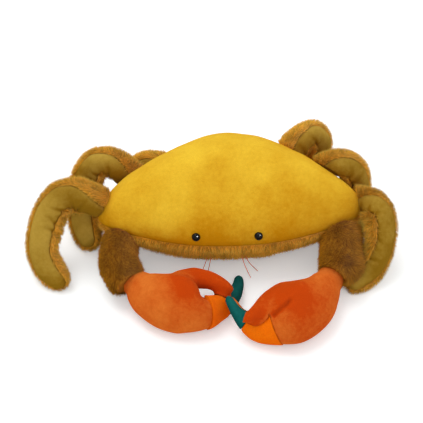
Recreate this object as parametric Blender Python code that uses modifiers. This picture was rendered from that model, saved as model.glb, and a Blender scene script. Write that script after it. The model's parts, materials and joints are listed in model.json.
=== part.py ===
"""Stuffed plush crab, resting on its belly, legs and claws.

Lengths are in metres and +Z is up. The crab faces -Y. Every stuffed piece is modelled as the closed
solid of its filled cover; pieces sewn to each other are kept a hair apart by SEAM_GAP.
"""

import math

import bmesh
import bpy
from mathutils import Matrix, Vector

MM = 0.001
SEAM_GAP = 0.3 * MM

# Drawing coordinates put the origin under the shell; this shift puts it under the middle of the toy.
PLAN_SHIFT = Vector((0.87, -22.83, 0.0)) * MM

# Body: shell above the seam, belly below it
BODY_CENTRE = Vector((25.0, 45.0, 0.0)) * MM
BODY_YAW = math.radians(2.5)
SEAM_HEIGHT = 58.0 * MM
SHELL_RISE = 92.0 * MM
SHELL_FULLNESS = 1.75
BELLY_FULLNESS = 1.8
BELLY_REST_SHARE = 0.32
BODY_SIDES = 56
SHELL_RINGS = 10
BELLY_RINGS = 8
# Half of the body outline seen from above, from the front middle round to the back middle (mm)
HALF_OUTLINE = (
    (0, -102), (42, -100), (84, -93), (122, -81), (156, -68), (180, -52),
    (189, -32), (176, -4), (151, 21), (120, 47), (84, 72), (44, 92), (0, 100),
)

# Eyes: a glossy bead on a shank, held inside the shell by a washer
EYE_DIAMETER = 12.0 * MM
EYE_HEIGHT = 6.5 * MM
EYE_ANGLES = (math.radians(-108.5), math.radians(-77.0))
EYE_RISE_SHARE = 0.15
SHANK_DIAMETER = 4.0 * MM
SHANK_LENGTH = 14.0 * MM
WASHER_DIAMETER = 14.0 * MM
WASHER_THICKNESS = 1.5 * MM
WASHER_DEPTH = 9.0 * MM
EYE_STEPS = 24

# Whisker threads
THREAD_DIAMETER = 1.1 * MM
THREAD_POINTS = 16
THREAD_ROOT_DROP = 0.38
THREAD_BOW = 9.0 * MM
# Angle round the belly where each thread is sewn in, and its loose end: x, y, z (mm)
THREADS = {
    "thread_left_outer": (-103.5, (-16, -56, 2)),
    "thread_left_inner": (-101.5, (-6, -53, 2)),
    "thread_right_inner": (-85.0, (55, -61, 2)),
    "thread_right_outer": (-83.0, (65, -49, 3)),
}

# How far the sewn seam plane of a limb leans: the direction that its smooth panel faces
LEG_FACING = {"left": Vector((-0.10, -0.87, 0.48)), "right": Vector((0.10, -0.87, 0.48))}
CLAW_FACING = Vector((0.0, -0.76, 0.65))
LEG_STATIONS = 18
LEG_FACE_STEPS = 7
LEG_BACK_STEPS = 9
# The smooth panel stops this far round from the widest line, so that the fur panel shows beside it
LEG_SEAM_ANGLE = math.radians(31.0)
# Degrees that the smooth panel is turned towards the inner edge, at shares of the leg's length
LEG_TURNS = {
    "leg_left_front": ((0, 65), (0.11, 55), (0.19, 34), (0.28, 10), (0.34, -4), (0.5, -12), (1, -12)),
    "leg_left_middle": ((0, 65), (0.12, 50), (0.22, 25), (0.3, 5), (0.38, -8), (0.5, -14), (1, -5)),
    "leg_left_rear": ((0, 60), (0.2, 30), (0.4, 0), (1, -5)),
    "leg_right_front": (
        (0, 65), (0.18, 48), (0.34, 12), (0.4, -8), (0.5, -24), (0.66, -20), (0.78, -2), (0.9, 10), (1, 12),
    ),
    "leg_right_middle": ((0, 65), (0.1, 58), (0.21, 38), (0.32, 8), (0.43, -10), (0.56, -20), (1, -10)),
    "leg_right_rear": ((0, 65), (0.12, 60), (0.24, 44), (0.35, 18), (0.42, -8), (0.5, -28), (1, -25)),
}

# Centre line and half sizes of each leg, from the body to the toe: x, y, z, half width, half thickness (mm)
LEGS = {
    "leg_left_front": (
        (-138, 18, 67, 18, 15), (-156, 8, 80, 21, 16), (-171, 8, 88, 22, 16), (-190, 9, 94, 23, 16),
        (-209, 3, 94, 22, 16), (-223, -12, 82, 22, 16), (-232, -30, 62, 21, 16), (-234, -49, 42, 20, 15),
        (-225, -64, 25, 20, 14), (-212, -75, 15, 17, 12), (-202, -81, 10, 11, 9),
    ),
    "leg_left_middle": (
        (-98, 70, 60, 18, 15), (-117, 68, 76, 20, 16), (-131, 67, 93, 20, 16), (-147, 67, 104, 19, 16),
        (-163, 65, 103, 19, 16), (-174, 59, 86, 21, 16), (-181, 50, 64, 20, 16), (-184, 38, 43, 20, 15),
        (-182, 23, 26, 20, 14), (-176, 6, 16, 18, 13), (-169, -10, 11, 12, 9),
    ),
    "leg_left_rear": (
        (-44, 88, 54, 18, 15), (-61, 93, 64, 20, 16), (-79, 99, 65, 20, 16), (-96, 102, 59, 20, 16),
        (-109, 106, 45, 19, 15), (-116, 108, 31, 17, 13), (-114, 107, 17, 13, 10), (-108, 104, 9, 7, 7),
    ),
    "leg_right_front": (
        (168, 46, 44, 17, 15), (187, 41, 50, 19, 16), (204, 34, 58, 19, 16), (222, 12, 77, 19, 16),
        (234, -9, 78, 19, 16), (237, -29, 65, 19, 15), (234, -45, 48, 19, 15), (227, -57, 31, 18, 14),
        (216, -68, 19, 17, 12), (203, -79, 13, 13, 10), (190, -86, 9, 10, 7),
    ),
    "leg_right_middle": (
        (140, 76, 60, 16, 14), (149, 73, 76, 17, 15), (161, 70, 91, 18, 15), (179, 66, 101, 18, 15),
        (198, 64, 95, 18, 15), (207, 66, 73, 17, 15), (211, 67, 47, 17, 14), (212, 54, 25, 16, 13),
        (210, 33, 15, 15, 12), (206, 12, 10, 10, 8),
    ),
    "leg_right_rear": (
        (96, 92, 60, 18, 15), (107, 99, 77, 20, 16), (119, 108, 94, 20, 16), (133, 118, 104, 18, 16),
        (148, 129, 101, 17, 16), (157, 134, 82, 18, 15), (157, 134, 62, 17, 14), (153, 132, 37, 15, 12),
        (146, 129, 17, 12, 10), (139, 126, 9, 7, 7),
    ),
}

# Centre line and half sizes of the fur arms, from the body to the claw
ARMS = {
    "arm_left": (
        (-120, 2, 50, 20, 20), (-125, -28, 46, 23, 23), (-127, -54, 41, 25, 24), (-124, -79, 37, 25, 23),
        (-112, -100, 34, 24, 20),
    ),
    "arm_right": (
        (170, 12, 50, 22, 20), (177, -18, 47, 25, 24), (179, -44, 42, 26, 25), (177, -67, 38, 26, 24),
        (168, -87, 35, 22, 20),
    ),
}
ARM_SIDES = 16
ARM_STATIONS = 10

# Centre line and half sizes of each claw, from the wrist over the palm to the hooked lower finger
CLAWS = {
    "left": (
        (-112, -92, 32, 20, 16), (-102, -100, 32, 23, 18), (-86, -119, 35, 34, 22), (-61, -135, 37, 41, 25),
        (-37, -142, 36, 40, 25), (-14, -147, 28, 27, 21), (5, -134, 20, 20, 17), (17, -123, 16, 16, 14),
        (27, -109, 13, 12, 12), (33, -96, 11, 10, 10), (37, -79, 9, 8, 8), (38, -64, 8, 6, 6),
    ),
    "right": (
        (168, -81, 33, 20, 16), (160, -95, 33, 23, 18), (150, -111, 35, 32, 22), (128, -142, 36, 43, 25),
        (103, -165, 33, 38, 25), (82, -170, 24, 25, 20), (63, -167, 20, 20, 16), (48, -161, 24, 14, 14),
        (35, -151, 31, 9, 10), (28, -142, 36, 7, 8), (24, -135, 39, 6, 6), (22, -129, 40, 4, 4),
    ),
}
THUMBS = {
    "left": (
        (-44, -104, 38, 14, 12), (-27, -96, 39, 16, 14), (-11, -97, 40, 16, 14), (4, -104, 41, 15, 13),
        (17, -110, 39, 13, 11), (26, -114, 36, 10, 9), (31, -117, 34, 6, 6),
    ),
    "right": (
        (132, -121, 39, 14, 13), (115, -119, 41, 17, 15), (96, -124, 44, 18, 16), (78, -140, 45, 18, 15),
        (63, -157, 45, 16, 13), (50, -170, 45, 12, 10), (43, -176, 44, 8, 7),
    ),
}
# Shares of the claw's length where the palm meets the middle segment and that meets the tip
CLAW_JOINS = {"left": (0.55, 0.70), "right": (0.59, 0.79)}
CLAW_ARC_STEPS = 10
CLAW_STATIONS = (14, 6, 8)
THUMB_STATIONS = 12
THUMB_SIDES = 16

# Colours (linear RGB), roughness, metallic
FABRICS = {
    "velour_mustard": ((0.62, 0.40, 0.030), 0.85, 0.0),
    "fur_brown": ((0.20, 0.085, 0.012), 0.95, 0.0),
    "velour_olive": ((0.24, 0.18, 0.025), 0.85, 0.0),
    "fur_caramel": ((0.36, 0.15, 0.018), 0.95, 0.0),
    "velour_orange": ((0.55, 0.085, 0.010), 0.85, 0.0),
    "velour_amber": ((0.80, 0.22, 0.005), 0.85, 0.0),
    "velour_teal": ((0.005, 0.12, 0.10), 0.85, 0.0),
    "bead_black": ((0.004, 0.004, 0.004), 0.15, 0.0),
    "washer_white": ((0.80, 0.80, 0.78), 0.50, 0.0),
    "thread_coral": ((0.75, 0.16, 0.05), 0.70, 0.0),
}


# Scene set-up
def clear_scene():
    for obj in list(bpy.data.objects):
        bpy.data.objects.remove(obj, do_unlink=True)


def new_collection(name):
    collection = bpy.data.collections.new(name)
    bpy.context.scene.collection.children.link(collection)
    return collection


def make_materials():
    made = {}
    for name, (colour, roughness, metallic) in FABRICS.items():
        material = bpy.data.materials.new(name)
        material.use_nodes = True
        shader = material.node_tree.nodes["Principled BSDF"]
        shader.inputs["Base Color"].default_value = (*colour, 1.0)
        shader.inputs["Roughness"].default_value = roughness
        shader.inputs["Metallic"].default_value = metallic
        material.diffuse_color = (*colour, 1.0)
        made[name] = material
    return made


# Curves through control points
def between(p0, p1, p2, p3, t):
    """Point at share t from p1 to p2 of the smooth curve through four rows of numbers."""
    return [
        0.5 * (2 * b + (c - a) * t + (2 * a - 5 * b + 4 * c - d) * t**2 + (3 * b - a - 3 * c + d) * t**3)
        for a, b, c, d in zip(p0, p1, p2, p3)
    ]


def smooth(rows, at):
    """The open curve through the rows, at a position counted in rows."""
    index = min(max(int(at), 0), len(rows) - 2)
    before = rows[max(index - 1, 0)]
    after = rows[min(index + 2, len(rows) - 1)]
    return between(before, rows[index], rows[index + 1], after, at - index)


class Limb:
    """A stuffed limb: rows of x, y, z, half width and half thickness along its centre line."""

    def __init__(self, rows, facing, turns=((0, 0), (1, 0))):
        self.turns = turns
        self.rows = [[value * MM for value in row] for row in rows]
        for row in self.rows:
            row[0] -= PLAN_SHIFT.x
            row[1] -= PLAN_SHIFT.y
        self.facing = facing.normalized()
        fine = 16 * (len(rows) - 1)
        self.positions = [(len(rows) - 1) * i / fine for i in range(fine + 1)]
        points = [Vector(smooth(self.rows, at)[:3]) for at in self.positions]
        self.lengths = [0.0]
        for first, second in zip(points, points[1:]):
            self.lengths.append(self.lengths[-1] + (second - first).length)
        self.length = self.lengths[-1]

    def position(self, share):
        """Turns a share of the length into a position counted in rows."""
        wanted = min(max(share, 0.0), 1.0) * self.length
        for i in range(1, len(self.lengths)):
            if self.lengths[i] >= wanted:
                step = self.lengths[i] - self.lengths[i - 1]
                part = (wanted - self.lengths[i - 1]) / step
                return self.positions[i - 1] + part * (self.positions[i] - self.positions[i - 1])
        return self.positions[-1]

    def frame(self, share):
        """Centre, width direction, thickness direction, half width and half thickness."""
        x, y, z, wide, thick = smooth(self.rows, self.position(share))
        ahead = Vector(smooth(self.rows, self.position(share + 0.01))[:3])
        behind = Vector(smooth(self.rows, self.position(share - 0.01))[:3])
        along = (ahead - behind).normalized()
        across = along.cross(self.facing).normalized()
        out = across.cross(along).normalized()
        return Vector((x, y, z)), across, out, wide, thick

    def turn(self, share):
        """How far the seams are turned round the limb there, in radians."""
        share = min(max(share, 0.0), 1.0)
        for (near, first), (far, second) in zip(self.turns, self.turns[1:]):
            if share <= far:
                return math.radians(first + (second - first) * (share - near) / (far - near))
        return math.radians(self.turns[-1][1])

    def section(self, share, start, sweep, steps, lift=0.0):
        """Points round the cross-section, from an angle over a sweep, lifted off the seam plane."""
        centre, across, out, wide, thick = self.frame(share)
        turn = self.turn(share)
        away = (out * math.cos(turn) - across * math.sin(turn)) * lift
        ring = []
        for i in range(steps + 1):
            angle = start + turn + sweep * i / steps
            ring.append(centre + away + across * (wide * math.cos(angle)) + out * (thick * math.sin(angle)))
        return ring


# Mesh building
def new_object(name, mesh, material, collection):
    if material is not None:
        mesh.materials.append(material)
    obj = bpy.data.objects.new(name, mesh)
    collection.objects.link(obj)
    return obj


def skin(name, rings, material, collection, diagonal=None):
    """Closed solid over rings of points, capped at both ends.

    With a diagonal, each ring is open and its two ends are joined by the flat seam side; the diagonal
    says which way that side's rectangles are split, so that the two halves of a limb match.
    """
    shape = bmesh.new()
    rows = [[shape.verts.new(point) for point in ring] for ring in rings]
    count = len(rings[0])
    last = count if diagonal is None else count - 1
    for near, far in zip(rows, rows[1:]):
        for i in range(last):
            j = (i + 1) % count
            shape.faces.new((near[i], near[j], far[j], far[i]))
        if diagonal == "first":
            shape.faces.new((near[-1], near[0], far[-1]))
            shape.faces.new((near[0], far[0], far[-1]))
        elif diagonal == "last":
            shape.faces.new((near[-1], near[0], far[0]))
            shape.faces.new((near[-1], far[0], far[-1]))
    shape.faces.new(list(reversed(rows[0])))
    shape.faces.new(rows[-1])
    bmesh.ops.recalc_face_normals(shape, faces=shape.faces)
    for face in shape.faces:
        face.smooth = len(face.verts) < 5
    mesh = bpy.data.meshes.new(name)
    shape.to_mesh(mesh)
    shape.free()
    return new_object(name, mesh, material, collection)


def lathe(name, profile, steps, place, material, collection):
    """Solid turned about its own Z axis from (radius, height) points that run down its outer side."""
    shape = bmesh.new()
    corners = [shape.verts.new((radius, 0.0, height)) for radius, height in profile]
    for first, second in zip(corners, corners[1:]):
        shape.edges.new((first, second))
    if profile[0][0] > 0:
        shape.edges.new((corners[-1], corners[0]))
    mesh = bpy.data.meshes.new(name)
    shape.to_mesh(mesh)
    shape.free()
    obj = new_object(name, mesh, material, collection)
    turn = obj.modifiers.new("turn", "SCREW")
    turn.axis = "Z"
    turn.angle = math.tau
    turn.steps = steps
    turn.render_steps = steps
    turn.use_merge_vertices = True
    turn.merge_threshold = 0.00001
    obj.matrix_world = place
    return obj


def cut(obj, cutter):
    modifier = obj.modifiers.new("cut by " + cutter.name, "BOOLEAN")
    modifier.operation = "DIFFERENCE"
    modifier.solver = "EXACT"
    modifier.object = cutter


def hide_cutter(obj):
    obj.hide_render = True
    obj.display_type = "WIRE"
    return obj


def grown(obj, name, gap, collection):
    """A cutter: the object's own mesh with every point moved out by the gap."""
    shape = bmesh.new()
    shape.from_mesh(obj.data)
    shape.normal_update()
    moves = [(vert, vert.normal * gap) for vert in shape.verts]
    for vert, move in moves:
        vert.co += move
    mesh = bpy.data.meshes.new(name)
    shape.to_mesh(mesh)
    shape.free()
    cutter = new_object(name, mesh, None, collection)
    cutter.matrix_world = obj.matrix_world.copy()
    return hide_cutter(cutter)


# Body
def body_outline(angle):
    """Point of the outline at an angle round the body, front middle at -90 degrees."""
    turn = (angle + math.pi / 2) % math.tau
    side = 1 if turn <= math.pi else -1
    share = (turn if side == 1 else math.tau - turn) / math.pi
    x, y = smooth(MIRRORED_OUTLINE, 1 + share * (len(HALF_OUTLINE) - 1))
    return side * x * MM, y * MM


MIRRORED_OUTLINE = (
    (-HALF_OUTLINE[1][0], HALF_OUTLINE[1][1]),
    *HALF_OUTLINE,
    (-HALF_OUTLINE[-2][0], HALF_OUTLINE[-2][1]),
)


def body_point(angle, reach, height):
    """Point at a share of the outline's distance from the body's middle, at a height."""
    x, y = body_outline(angle)
    flat = Matrix.Rotation(BODY_YAW, 3, "Z") @ Vector((x * reach, y * reach, 0.0))
    return BODY_CENTRE - PLAN_SHIFT + flat + Vector((0.0, 0.0, height))


def shell_point(angle, rise):
    """Point of the shell at a share of the way from the seam (0) to the crown (1)."""
    turn = rise * math.pi / 2
    power = 2 / SHELL_FULLNESS
    return body_point(angle, math.cos(turn) ** power, SEAM_HEIGHT + SHELL_RISE * math.sin(turn) ** power)


def shell_normal(angle, rise):
    step = 0.01
    here = shell_point(angle, rise)
    sideways = shell_point(angle + step, rise) - here
    upwards = shell_point(angle, rise + step) - here
    return sideways.cross(upwards).normalized()


def belly_point(angle, drop):
    """Point of the belly at a share of the way from the seam (0) down to the edge of the flat rest."""
    height = SEAM_HEIGHT * (1 - drop)
    reach = BELLY_REST_SHARE + (1 - BELLY_REST_SHARE) * (
        (1 - drop**BELLY_FULLNESS) ** (1 / BELLY_FULLNESS)
    )
    return body_point(angle, reach, height)


def body_ring(place, share, lift=0.0):
    angles = [-math.pi / 2 + math.tau * i / BODY_SIDES for i in range(BODY_SIDES)]
    return [place(angle, share) + Vector((0.0, 0.0, lift)) for angle in angles]


def shell_rings(lift):
    top = 1 - 1 / (2 * SHELL_RINGS)
    return [body_ring(shell_point, top * i / (SHELL_RINGS - 1), lift) for i in range(SHELL_RINGS)]


def belly_rings():
    return [
        body_ring(belly_point, math.sin(math.pi / 2 * i / (BELLY_RINGS - 1)))
        for i in range(BELLY_RINGS)
    ]


def make_body(nodes, cutters, materials):
    shell = skin("carapace", shell_rings(SEAM_GAP), materials["velour_mustard"], nodes)
    skin("belly", belly_rings(), materials["fur_caramel"], nodes)
    whole = skin("body_outline", belly_rings()[::-1] + shell_rings(SEAM_GAP), None, cutters)
    hide_cutter(whole)
    return shell, grown(whole, "body_cutter", SEAM_GAP, cutters)


# Eyes
def dome_profile(radius, height, base, steps=8):
    return [
        (radius * math.sin(math.pi / 2 * i / steps), base + height * math.cos(math.pi / 2 * i / steps))
        for i in range(steps + 1)
    ]


def make_eyes(shell, nodes, cutters, materials):
    shank = SHANK_DIAMETER / 2
    bore = shank + SEAM_GAP
    washer = WASHER_DIAMETER / 2
    washer_top = -WASHER_DEPTH
    washer_bottom = washer_top - WASHER_THICKNESS
    for side, angle in zip(("left", "right"), EYE_ANGLES):
        normal = shell_normal(angle, EYE_RISE_SHARE)
        spot = shell_point(angle, EYE_RISE_SHARE) + Vector((0.0, 0.0, SEAM_GAP))
        place = Matrix.Translation(spot) @ normal.to_track_quat("Z", "Y").to_matrix().to_4x4()
        bead = dome_profile(EYE_DIAMETER / 2, EYE_HEIGHT, SEAM_GAP)
        eye = bead + [(shank, SEAM_GAP), (shank, -SHANK_LENGTH), (0.0, -SHANK_LENGTH)]
        lathe("eye_" + side, eye, EYE_STEPS, place, materials["bead_black"], nodes)
        ring = [(bore, washer_top), (washer, washer_top), (washer, washer_bottom), (bore, washer_bottom)]
        lathe("eye_washer_" + side, ring, EYE_STEPS, place, materials["washer_white"], nodes)
        pocket = washer + SEAM_GAP
        seat = [
            (0.0, EYE_HEIGHT), (bore, EYE_HEIGHT),
            (bore, washer_top + SEAM_GAP), (pocket, washer_top + SEAM_GAP),
            (pocket, washer_bottom - SEAM_GAP), (bore, washer_bottom - SEAM_GAP),
            (bore, -SHANK_LENGTH - SEAM_GAP), (0.0, -SHANK_LENGTH - SEAM_GAP),
        ]
        cutter = lathe("eye_bore_" + side, seat, EYE_STEPS, place, None, cutters)
        cut(shell, hide_cutter(cutter))


# Legs and arms
def make_leg(name, rows, body_cutter, nodes, materials):
    side = "left" if "left" in name else "right"
    sign = 1 if side == "left" else -1
    turns = [(share, sign * degrees) for share, degrees in LEG_TURNS[name]]
    limb = Limb(rows, LEG_FACING[side], turns)
    shares = [i / (LEG_STATIONS - 1) for i in range(LEG_STATIONS)]
    start, end = LEG_SEAM_ANGLE, math.pi - LEG_SEAM_ANGLE
    half_gap = SEAM_GAP / 2
    face = [limb.section(share, start, end - start, LEG_FACE_STEPS, half_gap) for share in shares]
    around = math.tau - (end - start)
    back = [limb.section(share, end, around, LEG_BACK_STEPS, -half_gap) for share in shares]
    face = skin(name + "_face", face, materials["velour_olive"], nodes, "first")
    back = skin(name + "_back", back, materials["fur_caramel"], nodes, "last")
    cut(face, body_cutter)
    cut(back, body_cutter)


def tube(name, limb, stations, sides, material, collection):
    shares = [i / (stations - 1) for i in range(stations)]
    rings = [limb.section(share, 0.0, math.tau, sides)[:-1] for share in shares]
    return skin(name, rings, material, collection)


def make_arm(name, body_cutter, nodes, cutters, materials):
    limb = Limb(ARMS[name], CLAW_FACING)
    arm = tube(name, limb, ARM_STATIONS, ARM_SIDES, materials["fur_brown"], nodes)
    cut(arm, body_cutter)
    return grown(arm, name + "_cutter", SEAM_GAP, cutters)


# Claws
def spread(start, end, count):
    return [start + (end - start) * i / (count - 1) for i in range(count)]


def make_claw(side, arm_cutter, nodes, cutters, materials):
    limb = Limb(CLAWS[side], CLAW_FACING)
    first_join, second_join = CLAW_JOINS[side]
    gap = SEAM_GAP / limb.length
    starts = (0.0, first_join, second_join)
    ends = (first_join, second_join, 1.0)
    spans = [spread(start, end, count) for start, end, count in zip(starts, ends, CLAW_STATIONS)]
    fabrics = ("velour_orange", "velour_amber", "velour_teal")
    for part, span, fabric in zip(("palm", "segment", "tip"), spans, fabrics):
        shares = [span[0] + (gap if part != "palm" else 0.0)] + span[1:]
        rings = [limb.section(share, 0.0, math.pi, CLAW_ARC_STEPS, SEAM_GAP / 2) for share in shares]
        piece = skin(f"claw_{side}_{part}", rings, materials[fabric], nodes, "first")
        if part == "palm":
            cut(piece, arm_cutter)
    shares = spans[0] + spans[1][1:] + spans[2][1:]
    rings = [limb.section(share, math.pi, math.pi, CLAW_ARC_STEPS, -SEAM_GAP / 2) for share in shares]
    under = skin(f"claw_{side}_underside", rings, materials["velour_orange"], nodes, "last")
    cut(under, arm_cutter)
    rings = [limb.section(share, 0.0, math.tau, 2 * CLAW_ARC_STEPS)[:-1] for share in shares]
    whole = hide_cutter(skin(f"claw_{side}_outline", rings, None, cutters))
    claw_cutter = grown(whole, f"claw_{side}_cutter", 1.5 * SEAM_GAP, cutters)
    thumb = Limb(THUMBS[side], CLAW_FACING)
    orange = materials["velour_orange"]
    finger = tube(f"claw_{side}_thumb", thumb, THUMB_STATIONS, THUMB_SIDES, orange, nodes)
    cut(finger, claw_cutter)


# Whisker threads
def thread_route(angle, tip):
    """Points from just off the belly, bowing outwards, to the loose end."""
    step = 0.02
    root = belly_point(angle, THREAD_ROOT_DROP)
    sideways = belly_point(angle + step, THREAD_ROOT_DROP) - root
    downwards = belly_point(angle, THREAD_ROOT_DROP + step) - root
    out = downwards.cross(sideways).normalized()
    start = root + out * SEAM_GAP
    bend = start + out * THREAD_BOW
    end = Vector(tip) * MM - PLAN_SHIFT
    shares = [i / (THREAD_POINTS - 1) for i in range(THREAD_POINTS)]
    return [start * (1 - t) ** 2 + bend * (2 * t * (1 - t)) + end * t**2 for t in shares]


def make_thread(name, points, nodes, materials):
    curve = bpy.data.curves.new(name, "CURVE")
    curve.dimensions = "3D"
    line = curve.splines.new("POLY")
    line.points.add(len(points) - 1)
    for slot, point in zip(line.points, points):
        slot.co = (*point, 1.0)
    curve.bevel_depth = THREAD_DIAMETER / 2
    curve.bevel_resolution = 2
    curve.use_fill_caps = True
    curve.materials.append(materials["thread_coral"])
    obj = bpy.data.objects.new(name, curve)
    nodes.objects.link(obj)


def main():
    clear_scene()
    nodes = new_collection("plush_crab")
    cutters = new_collection("cutters")
    materials = make_materials()
    shell, body_cutter = make_body(nodes, cutters, materials)
    make_eyes(shell, nodes, cutters, materials)
    for name, rows in LEGS.items():
        make_leg(name, rows, body_cutter, nodes, materials)
    for side in ("left", "right"):
        arm_cutter = make_arm("arm_" + side, body_cutter, nodes, cutters, materials)
        make_claw(side, arm_cutter, nodes, cutters, materials)
    for name, (angle, tip) in THREADS.items():
        make_thread(name, thread_route(math.radians(angle), tip), nodes, materials)


main()
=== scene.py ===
import json
import math

import bpy
import numpy as np
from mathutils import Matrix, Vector

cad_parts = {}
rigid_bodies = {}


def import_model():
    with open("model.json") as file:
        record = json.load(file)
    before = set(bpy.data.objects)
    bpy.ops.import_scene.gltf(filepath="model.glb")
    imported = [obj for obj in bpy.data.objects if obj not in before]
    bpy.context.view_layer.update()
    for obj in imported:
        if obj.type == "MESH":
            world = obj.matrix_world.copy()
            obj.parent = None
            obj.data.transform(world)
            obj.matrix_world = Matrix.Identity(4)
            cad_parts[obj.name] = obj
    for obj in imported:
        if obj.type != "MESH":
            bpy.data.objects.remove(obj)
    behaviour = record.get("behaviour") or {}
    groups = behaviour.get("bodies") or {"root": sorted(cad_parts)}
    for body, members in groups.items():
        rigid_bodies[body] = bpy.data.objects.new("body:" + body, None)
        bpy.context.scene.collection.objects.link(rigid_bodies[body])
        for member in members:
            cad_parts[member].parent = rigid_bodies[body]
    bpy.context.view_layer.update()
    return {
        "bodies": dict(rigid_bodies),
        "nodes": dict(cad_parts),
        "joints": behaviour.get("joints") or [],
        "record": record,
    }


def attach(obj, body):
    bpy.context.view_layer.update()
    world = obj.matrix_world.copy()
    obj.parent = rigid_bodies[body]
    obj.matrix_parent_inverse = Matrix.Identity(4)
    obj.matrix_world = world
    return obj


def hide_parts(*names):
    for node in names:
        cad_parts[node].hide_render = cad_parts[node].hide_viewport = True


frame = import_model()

MM = 0.001
GAP = 0.0003  # between pieces that are sewn together
SHIFT = np.array((0.87, -22.83, 0.0)) * MM

# Sizes repeated from the part, in millimetres where they are whole numbers
BODY_CENTRE = np.array((25.0, 45.0, 0.0)) * MM
BODY_YAW = math.radians(2.5)
SEAM_HEIGHT = 58.0 * MM
SHELL_RISE = 92.0 * MM
SHELL_FULLNESS = 1.75
SHELL_TOP = 0.985
INNER_RIM = 0.86
BELLY_FULLNESS = 1.8
BELLY_REST = 0.32
HALF_OUTLINE = (
    (0, -102), (42, -100), (84, -93), (122, -81), (156, -68), (180, -52),
    (189, -32), (176, -4), (151, 21), (120, 47), (84, 72), (44, 92), (0, 100),
)
THREAD_DIAMETER = 1.1 * MM
THREAD_DROP = 0.38
THREAD_POINTS = 16
THREAD_BOW = 9.0 * MM
THREADS = {
    "thread_left_outer": (-103.5, (-16, -56, 2)),
    "thread_left_inner": (-101.5, (-6, -53, 2)),
    "thread_right_inner": (-85.0, (55, -61, 2)),
    "thread_right_outer": (-83.0, (65, -49, 3)),
}
LEG_FACING = {"left": (-0.10, -0.87, 0.48), "right": (0.10, -0.87, 0.48)}
LEG_SEAM = math.radians(31.0)
# Shares of each leg's length, and how far round the smooth panel is turned there towards the inner
# edge, in degrees
LEG_TURNS = {
    "leg_left_front": ((0, 65), (0.11, 55), (0.19, 34), (0.28, 10), (0.34, -4), (0.5, -12), (1, -12)),
    "leg_left_middle": ((0, 65), (0.12, 50), (0.22, 25), (0.3, 5), (0.38, -8), (0.5, -14), (1, -5)),
    "leg_left_rear": ((0, 60), (0.2, 30), (0.4, 0), (1, -5)),
    "leg_right_front": (
        (0, 65), (0.18, 48), (0.34, 12), (0.4, -8), (0.5, -24), (0.66, -20), (0.78, -2), (0.9, 10), (1, 12),
    ),
    "leg_right_middle": ((0, 65), (0.1, 58), (0.21, 38), (0.32, 8), (0.43, -10), (0.56, -20), (1, -10)),
    "leg_right_rear": ((0, 65), (0.12, 60), (0.24, 44), (0.35, 18), (0.42, -8), (0.5, -28), (1, -25)),
}
CLAW_FACING = (0.0, -0.76, 0.65)
LEGS = {
    "leg_left_front": (
        (-138, 18, 67, 18, 15), (-156, 8, 80, 21, 16), (-171, 8, 88, 22, 16), (-190, 9, 94, 23, 16),
        (-209, 3, 94, 22, 16), (-223, -12, 82, 22, 16), (-232, -30, 62, 21, 16), (-234, -49, 42, 20, 15),
        (-225, -64, 25, 20, 14), (-212, -75, 15, 17, 12), (-202, -81, 10, 11, 9),
    ),
    "leg_left_middle": (
        (-98, 70, 60, 18, 15), (-117, 68, 76, 20, 16), (-131, 67, 93, 20, 16), (-147, 67, 104, 19, 16),
        (-163, 65, 103, 19, 16), (-174, 59, 86, 21, 16), (-181, 50, 64, 20, 16), (-184, 38, 43, 20, 15),
        (-182, 23, 26, 20, 14), (-176, 6, 16, 18, 13), (-169, -10, 11, 12, 9),
    ),
    "leg_left_rear": (
        (-44, 88, 54, 18, 15), (-61, 93, 64, 20, 16), (-79, 99, 65, 20, 16), (-96, 102, 59, 20, 16),
        (-109, 106, 45, 19, 15), (-116, 108, 31, 17, 13), (-114, 107, 17, 13, 10), (-108, 104, 9, 7, 7),
    ),
    "leg_right_front": (
        (168, 46, 44, 17, 15), (187, 41, 50, 19, 16), (204, 34, 58, 19, 16), (222, 12, 77, 19, 16),
        (234, -9, 78, 19, 16), (237, -29, 65, 19, 15), (234, -45, 48, 19, 15), (227, -57, 31, 18, 14),
        (216, -68, 19, 17, 12), (203, -79, 13, 13, 10), (190, -86, 9, 10, 7),
    ),
    "leg_right_middle": (
        (140, 76, 60, 16, 14), (149, 73, 76, 17, 15), (161, 70, 91, 18, 15), (179, 66, 101, 18, 15),
        (198, 64, 95, 18, 15), (207, 66, 73, 17, 15), (211, 67, 47, 17, 14), (212, 54, 25, 16, 13),
        (210, 33, 15, 15, 12), (206, 12, 10, 10, 8),
    ),
    "leg_right_rear": (
        (96, 92, 60, 18, 15), (107, 99, 77, 20, 16), (119, 108, 94, 20, 16), (133, 118, 104, 18, 16),
        (148, 129, 101, 17, 16), (157, 134, 82, 18, 15), (157, 134, 62, 17, 14), (153, 132, 37, 15, 12),
        (146, 129, 17, 12, 10), (139, 126, 9, 7, 7),
    ),
}
ARMS = {
    "arm_left": (
        (-120, 2, 50, 20, 20), (-125, -28, 46, 23, 23), (-127, -54, 41, 25, 24), (-124, -79, 37, 25, 23),
        (-112, -100, 34, 24, 20),
    ),
    "arm_right": (
        (170, 12, 50, 22, 20), (177, -18, 47, 25, 24), (179, -44, 42, 26, 25), (177, -67, 38, 26, 24),
        (168, -87, 35, 22, 20),
    ),
}
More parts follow.
